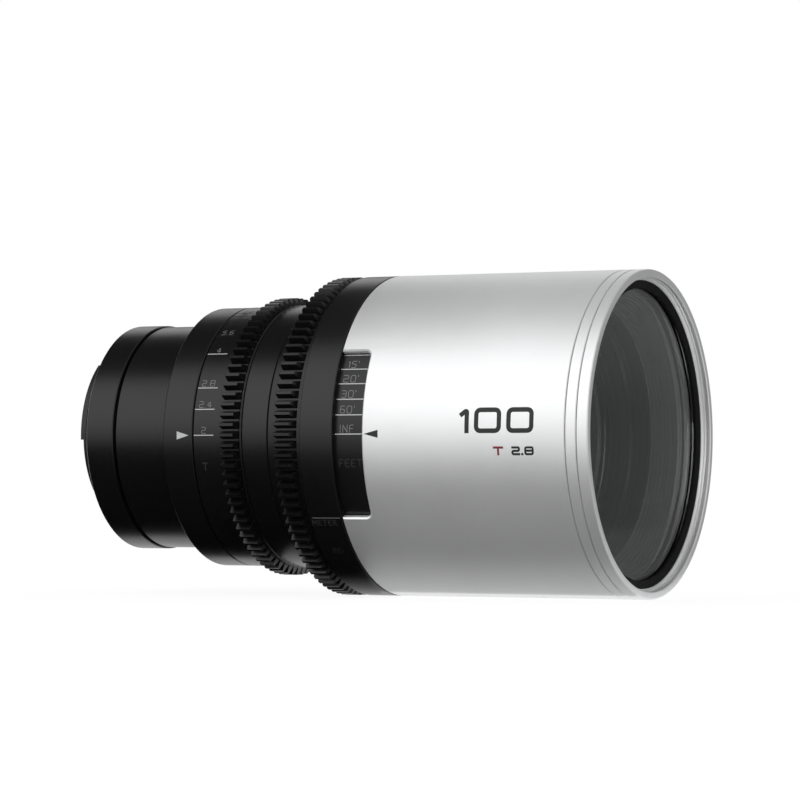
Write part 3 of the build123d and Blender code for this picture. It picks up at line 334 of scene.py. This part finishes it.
def dressNodes():
    # Every CAD node gets its finish, and shading that is smooth round the turned faces and sharp at edges.
    for part in frame["record"]["subparts"]:
        shown = nodes[part["node"]]
        finish = nodeFinish.get(part["node"], slotFinish[part["material_slot"]])
        shown.data.materials.clear()
        shown.data.materials.append(materials[finish])
        if "custom_normal" in shown.data.attributes:
            shown.data.attributes.remove(shown.data.attributes["custom_normal"])
        shown.data.polygons.foreach_set("use_smooth", np.ones(len(shown.data.polygons), bool))
        shown.modifiers.new("weld", "WELD").merge_threshold = shading["weld"] * mm
        splitEdges(shown)


dressNodes()
print("materials made and given to the CAD nodes")


def makePiece(name, vertices, faces, material, body, smooth=False):
    # Closed mesh from arrays. Its faces are turned round if its signed volume is negative.
    quads = np.asarray(faces)
    a, b, c = (vertices[quads[:, k]] for k in range(3))
    d = vertices[quads[:, -1]]
    volume = np.einsum("ij,ij->", a, np.cross(b, c)) + np.einsum("ij,ij->", a, np.cross(c, d))
    if volume < 0:
        quads = quads[:, ::-1]
    mesh = bpy.data.meshes.new(name)
    mesh.from_pydata(vertices, [], quads)
    mesh.polygons.foreach_set("use_smooth", np.full(len(mesh.polygons), smooth))
    mesh.update()
    mesh.materials.append(material)
    piece = bpy.data.objects.new(name, mesh)
    bpy.context.scene.collection.objects.link(piece)
    if smooth:
        splitEdges(piece)
    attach(piece, body)
    return piece


def gridFaces(rows, columns, closeRows, closeColumns):
    # Quads of a grid of vertices, joined round where a direction is closed.
    i = np.arange(rows if closeRows else rows - 1)
    j = np.arange(columns if closeColumns else columns - 1)
    i, j = (g.ravel() for g in np.meshgrid(i, j, indexing="ij"))
    nextI, nextJ = (i + 1) % rows, (j + 1) % columns
    return np.stack([i * columns + j, nextI * columns + j, nextI * columns + nextJ, i * columns + nextJ], 1)


filterThread = {
    "pitch": 0.75, "depth": 0.13, "around": 384, "samplesPerPitch": 12,
    "threadRadius": 38.1, "lipRadius": 37.4, "spigotRadius": 38.6,
    "shoulderLength": 0.2, "bevel": 0.2, "cornerRound": 0.5, "cornerPoints": 7,
    "threadLength": 2.3, "threadStart": 0.6, "runIn": 0.4, "runOut": 0.25,
}


def makeFilterRing(plan):
    # Filter ring turned from its outline, with a real screw thread inside: each point's radius is the
    # outline's radius plus a triangle wave of its station, which moves one pitch forward for each turn.
    back, front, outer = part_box("filter_ring")[0].x / mm, lensFront / mm, outerRadius("front_barrel")
    lip, spigot, crest = plan["lipRadius"], plan["spigotRadius"], plan["threadRadius"]
    ledge, shoulder, bevel = front - plan["threadLength"], back + plan["shoulderLength"], plan["bevel"]
    angles = np.linspace(0, np.pi / 2, plan["cornerPoints"])
    cornerX = front - plan["cornerRound"] * (1 - np.sin(angles))
    cornerR = outer - plan["cornerRound"] * (1 - np.cos(angles))
    steps = int((plan["threadLength"] - bevel) / plan["pitch"] * plan["samplesPerPitch"])
    threadX = np.linspace(front - bevel, ledge, steps)
    x = np.concatenate([[back, back, shoulder, shoulder, shoulder + bevel], cornerX,
                        [front], threadX, [ledge]])
    radius = np.concatenate([[lip, spigot, spigot, outer - bevel, outer], cornerR,
                             [crest + bevel], np.full(steps, crest), [lip]])
    cut = np.zeros(len(x))
    first = len(x) - steps - 1
    runIn = (front - plan["threadStart"] - threadX) / plan["runIn"]
    runOut = (threadX - ledge) / plan["runOut"]
    cut[first:-1] = np.clip(np.minimum(runIn, runOut), 0, 1)
    turn = np.linspace(0, 2 * np.pi, plan["around"], endpoint=False)[:, None]
    phase = (x[None] - ledge) / plan["pitch"] - turn / (2 * np.pi)
    groove = 1 - np.abs(2 * (phase % 1) - 1)
    r = radius[None] + cut[None] * plan["depth"] * groove
    station = np.broadcast_to(x, r.shape)
    vertices = np.stack([station, r * np.cos(turn), r * np.sin(turn)], -1).reshape(-1, 3) * mm
    piece = makePiece("filter_ring_threaded", vertices, gridFaces(plan["around"], len(x), True, True),
                      materials["silverAnodised"], "lens_body", smooth=True)
    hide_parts("filter_ring")


makeFilterRing(filterThread)
print("filter ring threaded")

# Single-line lettering, as an engraving machine cuts it. Each letter has the width of its box, which is one
# unit high, and its strokes, each with its corners and whether it is closed.
glyphs = {
    "0": (0.9, [([(0, 0), (0, 1), (0.9, 1), (0.9, 0)], True)]),
    "1": (0.2, [([(0, 0.8), (0.2, 1), (0.2, 0)], False)]),
    "2": (0.9, [([(0, 1), (0.9, 1), (0.9, 0.5), (0, 0.5), (0, 0), (0.9, 0)], False)]),
    "3": (0.8, [([(0, 1), (0.8, 1), (0.8, 0), (0, 0)], False), ([(0.2, 0.53), (0.75, 0.53)], False)]),
    "4": (0.9, [([(0.68, 0), (0.68, 1), (0, 0.3), (0.9, 0.3)], False)]),
    "5": (0.8, [([(0.8, 1), (0, 1), (0, 0.56), (0.8, 0.56), (0.8, 0), (0, 0)], False)]),
    "6": (0.8, [([(0.75, 1), (0, 1), (0, 0), (0.8, 0), (0.8, 0.55), (0, 0.55)], False)]),
    "8": (1.0, [([(0, 0.5), (0, 1), (1, 1), (1, 0.5), (1, 0), (0, 0)], True),
                ([(0, 0.52), (1, 0.52)], False)]),
    ".": (0.02, [([(0, 0), (0.02, 0)], False)]),
    "'": (0.02, [([(0.01, 1), (0.01, 0.8)], False)]),
    "T": (0.9, [([(0, 1), (0.9, 1)], False), ([(0.45, 1), (0.45, 0)], False)]),
    "I": (0.12, [([(0.06, 0), (0.06, 1)], False)]),
    "N": (0.8, [([(0, 0), (0, 1)], False), ([(0, 1), (0.8, 0)], False), ([(0.8, 0), (0.8, 1)], False)]),
    "F": (0.7, [([(0, 0), (0, 1), (0.7, 1)], False), ([(0, 0.52), (0.6, 0.52)], False)]),
    "E": (0.7, [([(0.7, 1), (0, 1), (0, 0), (0.7, 0)], False), ([(0, 0.52), (0.6, 0.52)], False)]),
    "R": (0.75, [([(0, 0), (0, 1), (0.75, 1), (0.75, 0.5), (0, 0.5)], False),
                 ([(0.4, 0.5), (0.75, 0)], False)]),
    "M": (1.0, [([(0, 0), (0, 1)], False), ([(0, 1), (0.5, 0.35)], False), ([(0.5, 0.35), (1, 1)], False),
                ([(1, 1), (1, 0)], False)]),
}
ink = {
    "proud": 0.006, "sunk": 0.06,           # how far a mark stands out of its surface and reaches into it
    "step": 0.3, "bendPoints": 9,
    "spacing": 0.36, "corner": 0.3,         # between letters and at their corners, in heights of the letter
    "markRows": 14, "markPoints": 9, "tipShare": 0.01,
}


def arc(radius, degrees):
    return radius * math.radians(degrees)


def roundedPath(points, radius, closed):
    # Points along a line of straight runs, with a curve of the given reach at each corner.
    corners = np.asarray(points, float)
    path = []
    count = len(corners)
    for k in range(count):
        here = corners[k]
        if not closed and k in (0, count - 1):
            path.append(here[None])
            continue
        before, after = corners[k - 1] - here, corners[(k + 1) % count] - here
        reach = min(radius, np.linalg.norm(before) / 2, np.linalg.norm(after) / 2)
        start = here + before / np.linalg.norm(before) * reach
        end = here + after / np.linalg.norm(after) * reach
        t = np.linspace(0, 1, ink["bendPoints"])[:, None]
        path.append((1 - t) ** 2 * start + 2 * t * (1 - t) * here + t ** 2 * end)
    path = np.concatenate(path)
    if closed:
        path = np.concatenate([path, path[:1]])
    lengths = np.linalg.norm(np.diff(path, axis=0), axis=1)
    along = np.concatenate([[0], np.cumsum(lengths)])
    extra = np.arange(0, along[-1], ink["step"])
    places = np.unique(np.concatenate([along, extra]).round(5))     # points that fall together become one
    path = np.stack([np.interp(places, along, path[:, k]) for k in range(2)], 1)
    return path[:-1] if closed else path


def strokeSolid(path, half, closed):
    # Bar of paint along a path: four points across at each step, as (along, up, height) rows, and its
    # faces. An open end runs on by half the bar's width.
    if closed:
        ahead = np.roll(path, -1, 0) - np.roll(path, 1, 0)
    else:
        ahead = np.gradient(path, axis=0)
    ahead /= np.linalg.norm(ahead, axis=1)[:, None]
    if not closed:
        path = np.concatenate([path[:1] - ahead[:1] * half, path[1:-1], path[-1:] + ahead[-1:] * half])
    side = np.stack([-ahead[:, 1], ahead[:, 0]], 1) * half
    top, low = np.full(len(path), ink["proud"]), np.full(len(path), -ink["sunk"])
    rows = np.stack([np.c_[path + side, top], np.c_[path - side, top],
                     np.c_[path - side, low], np.c_[path + side, low]], 1)
    faces = gridFaces(len(path), 4, closed, True)
    if not closed:
        last = 4 * (len(path) - 1)
        faces = np.concatenate([faces, [[0, 1, 2, 3], [last + 3, last + 2, last + 1, last]]])
    return rows.reshape(-1, 3), faces


def textStrokes(text, x, up, style, share=0.5):
    # Strokes of a text that stands on up, each as (path, half width, closed). The share says where x lies
    # in the text's width: 0 is its left end and 1 its right end.
    height, half = style["height"], style["weight"] / 2
    spacing, corner = (style.get(size, ink[size]) * height for size in ("spacing", "corner"))
    unit = style["stretch"] * height
    widths = [glyphs[letter][0] * unit for letter in text]
    x -= share * (sum(widths) + spacing * (len(text) - 1))
    strokes = []
    for letter, width in zip(text, widths):
        for points, closed in glyphs[letter][1]:
            scaled = [(x + px * unit, up + py * height) for px, py in points]
            strokes.append((roundedPath(scaled, corner, closed), half, closed))
        x += width + spacing
    return strokes


def taperedMark(mark):
    # Triangle mark: a grid that widens evenly from almost nothing at its tip to its full width at its base.
    rows, points = ink["markRows"], ink["markPoints"]
    along = np.linspace(mark["tip"], mark["base"], rows)
    across = np.linspace(-1, 1, points)
    share = np.abs(along - mark["tip"]) / abs(mark["base"] - mark["tip"])
    width = mark["half"] * np.maximum(ink["tipShare"], share)
    top = np.stack([np.broadcast_to(along[:, None], (rows, points)), width[:, None] * across,
                    np.full((rows, points), ink["proud"])], -1)
    low = top.copy()
    low[..., 2] = -ink["sunk"]
    loop = np.concatenate([top, low[:, ::-1]], 1)
    around = 2 * points
    faces = gridFaces(rows, around, False, True)
    caps = [[k, k + 1, around - 2 - k, around - 1 - k] for k in range(points - 1)]
    ends = [[corner + (rows - 1) * around for corner in cap[::-1]] for cap in caps]
    return loop.reshape(-1, 3), np.concatenate([faces, caps, ends])


def layOn(name, strokes, radius, paint, body, marks=()):
    # Lays strokes and triangle marks on a cylinder: the first number is the station, the second the height
    # round the cylinder above the near side, and the third the height off its surface.
    solids = [strokeSolid(*stroke) for stroke in strokes] + [taperedMark(mark) for mark in marks]
    vertices, faces, offset = [], [], 0
    for rows, quads in solids:
        vertices.append(rows)
        faces.append(quads + offset)
        offset += len(rows)
    rows = np.concatenate(vertices)
    angle = rows[:, 1] / radius
    r = radius + rows[:, 2]
    placed = np.stack([rows[:, 0], -r * np.cos(angle), r * np.sin(angle)], 1) * mm
    makePiece(name, placed, np.concatenate(faces), materials[paint], body)


barrelMarks = {
    "radius": outerRadius("front_barrel"), "rearRadius": outerRadius("rear_barrel"),
    "focal": {"text": "100", "right": 129.1, "at": 0.0, "height": 6.07, "stretch": 1.32, "weight": 1.12,
              "spacing": 0.5, "corner": 0.24},
    "stop": {"text": "2.8", "right": 129.1, "at": -7.5, "height": 2.1, "stretch": 1.2, "weight": 0.52,
             "spacing": 0.5, "corner": 0.24},
    "letter": {"text": "T", "right": 121.26, "at": -7.5, "height": 2.1, "stretch": 1.5, "weight": 0.52,
               "corner": 0.0},
    "index": {"tip": 84.6, "base": 88.35, "half": 0.95},
    "rearIndex": {"tip": 32.3, "base": 28.95, "half": 1.02},
}


def barrelText(style, radius):
    # Text whose right edge, baseline and height are measured at the outside of its strokes.
    half = style["weight"] / 2
    inner = {**style, "height": style["height"] - style["weight"]}
    return textStrokes(style["text"], style["right"] - half, arc(radius, style["at"]) + half, inner, 1)


def makeBarrelMarks(plan):
    radius = plan["radius"]
    dark = barrelText(plan["focal"], radius) + barrelText(plan["stop"], radius)
    layOn("barrel_marks", dark, radius, "darkFill", "lens_body", [plan["index"]])
    layOn("stop_letter", barrelText(plan["letter"], radius), radius, "redFill", "lens_body")
    layOn("iris_index", [], plan["rearRadius"], "whiteFill", "lens_body", [plan["rearIndex"]])


def scaleLine(plan, degrees):
    # A stroke along the lens, at this angle above the near side.
    up = arc(plan["radius"], degrees)
    path = roundedPath([(plan["lineFrom"], up), (plan["lineTo"], up)], 0, False)
    return path, plan["lineWeight"] / 2, False


def scaleNumber(plan, text, degrees):
    # A number that stands on this angle, or on a gap above it.
    up = arc(plan["radius"], degrees) + plan["textGap"]
    return textStrokes(text, plan["textMiddle"], up, plan["number"])


irisScale = {
    "radius": 33.04, "lineFrom": 33.95, "lineTo": 39.3, "lineWeight": 0.22, "textMiddle": 36.625,
    "textGap": 0.45, "number": {"height": 1.55, "stretch": 0.8, "weight": 0.13},
    "nearStops": {"2": 0.0, "2.4": 11.2, "2.8": 20.8, "4": 37.9}, "middleStop": ("5.6", 49.2),
    "topStops": {"8": 56.9, "11": 62.3, "16": 66.3, "22": 70.1},
    "letterAt": -15.3, "letter": {"height": 1.9, "stretch": 0.8, "weight": 0.18},
}


def makeIrisScale(plan):
    # The lines are painted darker towards the top of the ring, and the numbers one stop later: painted
    # shade, for white paint that looks dark there against the bright sheen round it.
    radius = plan["radius"]
    near, middle, top = list(plan["nearStops"].items()), plan["middleStop"], list(plan["topStops"].items())
    nearLines = [scaleLine(plan, degrees) for text, degrees in near]
    shadedTopLines = [scaleLine(plan, degrees) for text, degrees in [middle, *top]]
    numbers = [stroke for stop in [middle, *near] for stroke in scaleNumber(plan, *stop)]
    shadedTopNumbers = [stroke for stop in top for stroke in scaleNumber(plan, *stop)]
    letter = textStrokes("T", plan["textMiddle"], arc(radius, plan["letterAt"]), plan["letter"])
    layOn("iris_scale_lines", nearLines, radius, "whiteFill", "iris_control")
    layOn("iris_scale_shaded_lines", shadedTopLines, radius, "shadedWhiteFill", "iris_control")
    layOn("iris_scale_numbers", numbers, radius, "greyFill", "iris_control")
    layOn("iris_scale_shaded_numbers", shadedTopNumbers, radius, "shadedWhiteFill", "iris_control")
    layOn("iris_scale_letter", letter, radius, "faintFill", "iris_control")


focusScale = {
    "radius": outerRadius("focus_scale_sleeve"), "lineFrom": 76.2, "lineTo": 84.6, "lineWeight": 0.24,
    "textMiddle": 79.2, "textGap": 0.42, "number": {"height": 1.75, "stretch": 0.82, "weight": 0.15},
    "distances": {"INF": 0.0, "60'": 6.9, "30'": 12.6, "20'": 18.4, "15'": 24.05, "12'": 29.8, "10'": 35.6,
                  "8'": 44.6, "6'": 58.5, "5'": 69.8, "4'": 88.0, "3.5'": 102.0, "3.2'": 118.0},
    "unit": "FEET", "unitMiddle": 80.0, "unitAt": -11.8,
}
bandScale = {
    "radius": outerRadius("focus_band"), "lineFrom": 67.9, "lineTo": 75.3, "lineWeight": 0.14,
    "lineAt": -30.4, "textMiddle": 71.6, "textGap": 0.0,
    "number": {"height": 1.5, "stretch": 0.82, "weight": 0.14}, "numbers": {"20": -46.0, "10": -62.5},
    "unit": "METER", "unitMiddle": 70.8, "unitDrop": 2.1,
    "unitLetters": {"height": 1.5, "stretch": 0.7, "weight": 0.14},
}


def makeFocusScale(plan):
    radius, stops = plan["radius"], plan["distances"].items()
    lines = [scaleLine(plan, degrees) for text, degrees in stops]
    numbers = [stroke for stop in stops for stroke in scaleNumber(plan, *stop)]
    unit = textStrokes(plan["unit"], plan["unitMiddle"], arc(radius, plan["unitAt"]), plan["number"])
    layOn("focus_scale_lines", lines, radius, "whiteFill", "focus_ring")
    layOn("focus_scale_numbers", numbers, radius, "greyFill", "focus_ring")
    layOn("focus_scale_unit", unit, radius, "faintFill", "focus_ring")


def makeBandScale(plan):
    radius = plan["radius"]
    below = arc(radius, plan["lineAt"]) - plan["unitDrop"]
    marks = textStrokes(plan["unit"], plan["unitMiddle"], below, plan["unitLetters"])
    for stop in plan["numbers"].items():
        marks += scaleNumber(plan, *stop)
    layOn("focus_band_line", [scaleLine(plan, plan["lineAt"])], radius, "greyFill", "focus_ring")
    layOn("focus_band_unit", marks, radius, "faintFill", "focus_ring")


makeBarrelMarks(barrelMarks)
makeIrisScale(irisScale)
makeFocusScale(focusScale)
makeBandScale(bandScale)
print("scales and index marks laid on")

studio = {
    "surround": 1.0,        # what mirrors see past the cards
    "fill": 0.55,           # what matt surfaces get from all round
    "floorWhite": 0.86, "floorRoughness": 0.9, "floorGlow": 0.86, "floorGlowLevel": 1.08,
    "floorReach": 20000, "cardGap": 0.6,    # the low cards lie this far above the floor
    "key": {"place": (-250, -650, 750), "width": 600, "height": 500, "level": 2.2},
}
# Bright and dim cards that only mirrors and glass see. An upright one stands at one Y and reaches over X and
# Z, a level one lies at one Z with an outline in X and Y. A fade adds to its level between two places.
lowCardZ = floorHeight / mm + studio["cardGap"]
cards = {
    "softBox": {"y": -900, "x": (-1800, 500), "z": (130, 1230), "level": 1.55},
    "overRear": {"z": 120, "outline": [(-400, -75), (36, -75), (36, 78), (-400, 78)], "level": 0.05},
    "overFront": {"z": 120, "outline": [(36, -62), (400, -62), (400, 78), (36, 78)], "level": 0.36},
    "lowRear": {"z": lowCardZ, "level": 0.0,
                "outline": [(-600, -3), (-600, -420), (-116, -420), (73, -40), (73, -17), (48, -17),
                            (40, -3)]},
    "lowBand": {"z": lowCardZ, "level": 0.0, "outline": [(40, -3), (48, -17), (73, -17), (73, -3)],
                "fades": {"Y": (-17, -6, 0.8)}},
    "lowFront": {"z": lowCardZ, "outline": [(73, -9), (73, -40), (-12, -210), (500, -210), (500, -9)],
                 "level": 0.1, "fades": {"Y": (-28, -8, 0.5)}},
    "lowFar": {"z": lowCardZ, "level": 0.22, "outline": [(160, 40), (2200, 40), (2200, 655), (97, 655)],
               "fades": {"X": (352, 473, -0.13)}},
    "farCard": {"y": 650, "x": (130, 2200), "z": (lowCardZ, 200), "level": 0.22,
                "fades": {"X": (352, 473, -0.13), "Z": (20, 110, 0.2)}},
    "farRear": {"y": 650, "x": (-700, 130), "z": (lowCardZ, 260), "level": 0.2},
    "farTop": {"y": 650, "x": (130, 2200), "z": (200, 900), "level": 0.12},
}


def seenDirectly(tree):
    # One for rays that come from the camera, a mirror or glass, and nothing for the light on matt surfaces.
    path = addNode(tree, "ShaderNodeLightPath").outputs
    mirrored = mathNode(tree, "MAXIMUM", path["Is Glossy Ray"], path["Is Transmission Ray"])
    return mathNode(tree, "MAXIMUM", path["Is Camera Ray"], mirrored)


def makeWorld(plan):
    world = bpy.data.worlds.new("studioSurround")
    bpy.context.scene.world = world
    world.use_nodes = True
    tree = world.node_tree
    level = mathNode(tree, "MULTIPLY_ADD", seenDirectly(tree), plan["surround"] - plan["fill"], plan["fill"])
    tree.links.new(level, tree.nodes["Background"].inputs["Strength"])
    tree.nodes["Background"].inputs["Color"].default_value = (1, 1, 1, 1)


def flatSheet(name, corners):
    # One flat face of the studio, which isn't part of the lens.
    mesh = bpy.data.meshes.new(name)
    mesh.from_pydata(np.array(corners, float) * mm, [], [tuple(range(len(corners)))])
    sheet = bpy.data.objects.new(name, mesh)
    bpy.context.scene.collection.objects.link(sheet)
    return sheet


def makeFloor(plan):
    # White floor: it glows for rays that look at it, and the matt part that is mixed in carries the shadow.
    reach, z = plan["floorReach"], floorHeight / mm
    floor = flatSheet("studioFloor", [(-reach, -reach, z), (reach, -reach, z), (reach, reach, z),
                                      (-reach, reach, z)])
    material, tree, matt = newMaterial("whiteFloor")
    matt.inputs["Base Color"].default_value = (plan["floorWhite"],) * 3 + (1,)
    matt.inputs["Roughness"].default_value = plan["floorRoughness"]
    glow = addNode(tree, "ShaderNodeEmission", Color=(1, 1, 1, 1),
                   Strength=plan["floorGlowLevel"]).outputs[0]
    share = mathNode(tree, "MULTIPLY", seenDirectly(tree), plan["floorGlow"])
    mix = addNode(tree, "ShaderNodeMixShader", i0=share, i1=matt.outputs[0], i2=glow).outputs[0]
    tree.links.new(mix, tree.nodes["Material Output"].inputs["Surface"])
    floor.data.materials.append(material)


def makeCard(name, plan):
    # Sheet that glows at its level plus its fades.
    if "outline" in plan:
        corners = [(x, y, plan["z"]) for x, y in plan["outline"]]
    else:
        (left, right), (low, high), y = plan["x"], plan["z"], plan["y"]
        corners = [(left, y, low), (right, y, low), (right, y, high), (left, y, high)]
    card = flatSheet(name, corners)
    material, tree, plainShader = newMaterial(name + "Paint")
    tree.nodes.remove(plainShader)
    level = plan["level"]
    place = addNode(tree, "ShaderNodeTexCoord").outputs["Object"]
    parts = addNode(tree, "ShaderNodeSeparateXYZ", Vector=place).outputs
    for direction, (start, end, change) in plan.get("fades", {}).items():
        fade = addNode(tree, "ShaderNodeMapRange", i0=parts[direction], i1=start * mm, i2=end * mm,
                       i3=0.0, i4=change)
        level = mathNode(tree, "ADD", fade.outputs[0], level)
    glow = addNode(tree, "ShaderNodeEmission", Color=(1, 1, 1, 1), Strength=level).outputs[0]
    tree.links.new(glow, tree.nodes["Material Output"].inputs["Surface"])
    card.data.materials.append(material)
    card.visible_camera = card.visible_diffuse = card.visible_shadow = False


def makeLamp(name, plan):
    # Soft lamp aimed at the middle of the lens. Its power gives its face the stated level.
    data = bpy.data.lights.new(name, "AREA")
    data.shape, data.size, data.size_y = "RECTANGLE", plan["width"] * mm, plan["height"] * mm
    data.energy = plan["level"] * math.pi * data.size * data.size_y
    lamp = bpy.data.objects.new(name, data)
    place = Vector(plan["place"]) * mm
    aim = Vector((lensFront / 2, 0, 0)) - place
    lamp.matrix_world = Matrix.Translation(place) @ aim.to_track_quat("-Z", "Y").to_matrix().to_4x4()
    lamp.visible_glossy = False
    bpy.context.scene.collection.objects.link(lamp)


makeWorld(studio)
makeFloor(studio)
for cardName, cardPlan in cards.items():
    makeCard(cardName, cardPlan)
makeLamp("keyLamp", studio["key"])
bpy.context.scene.view_settings.view_transform = "Standard"
print("studio set")
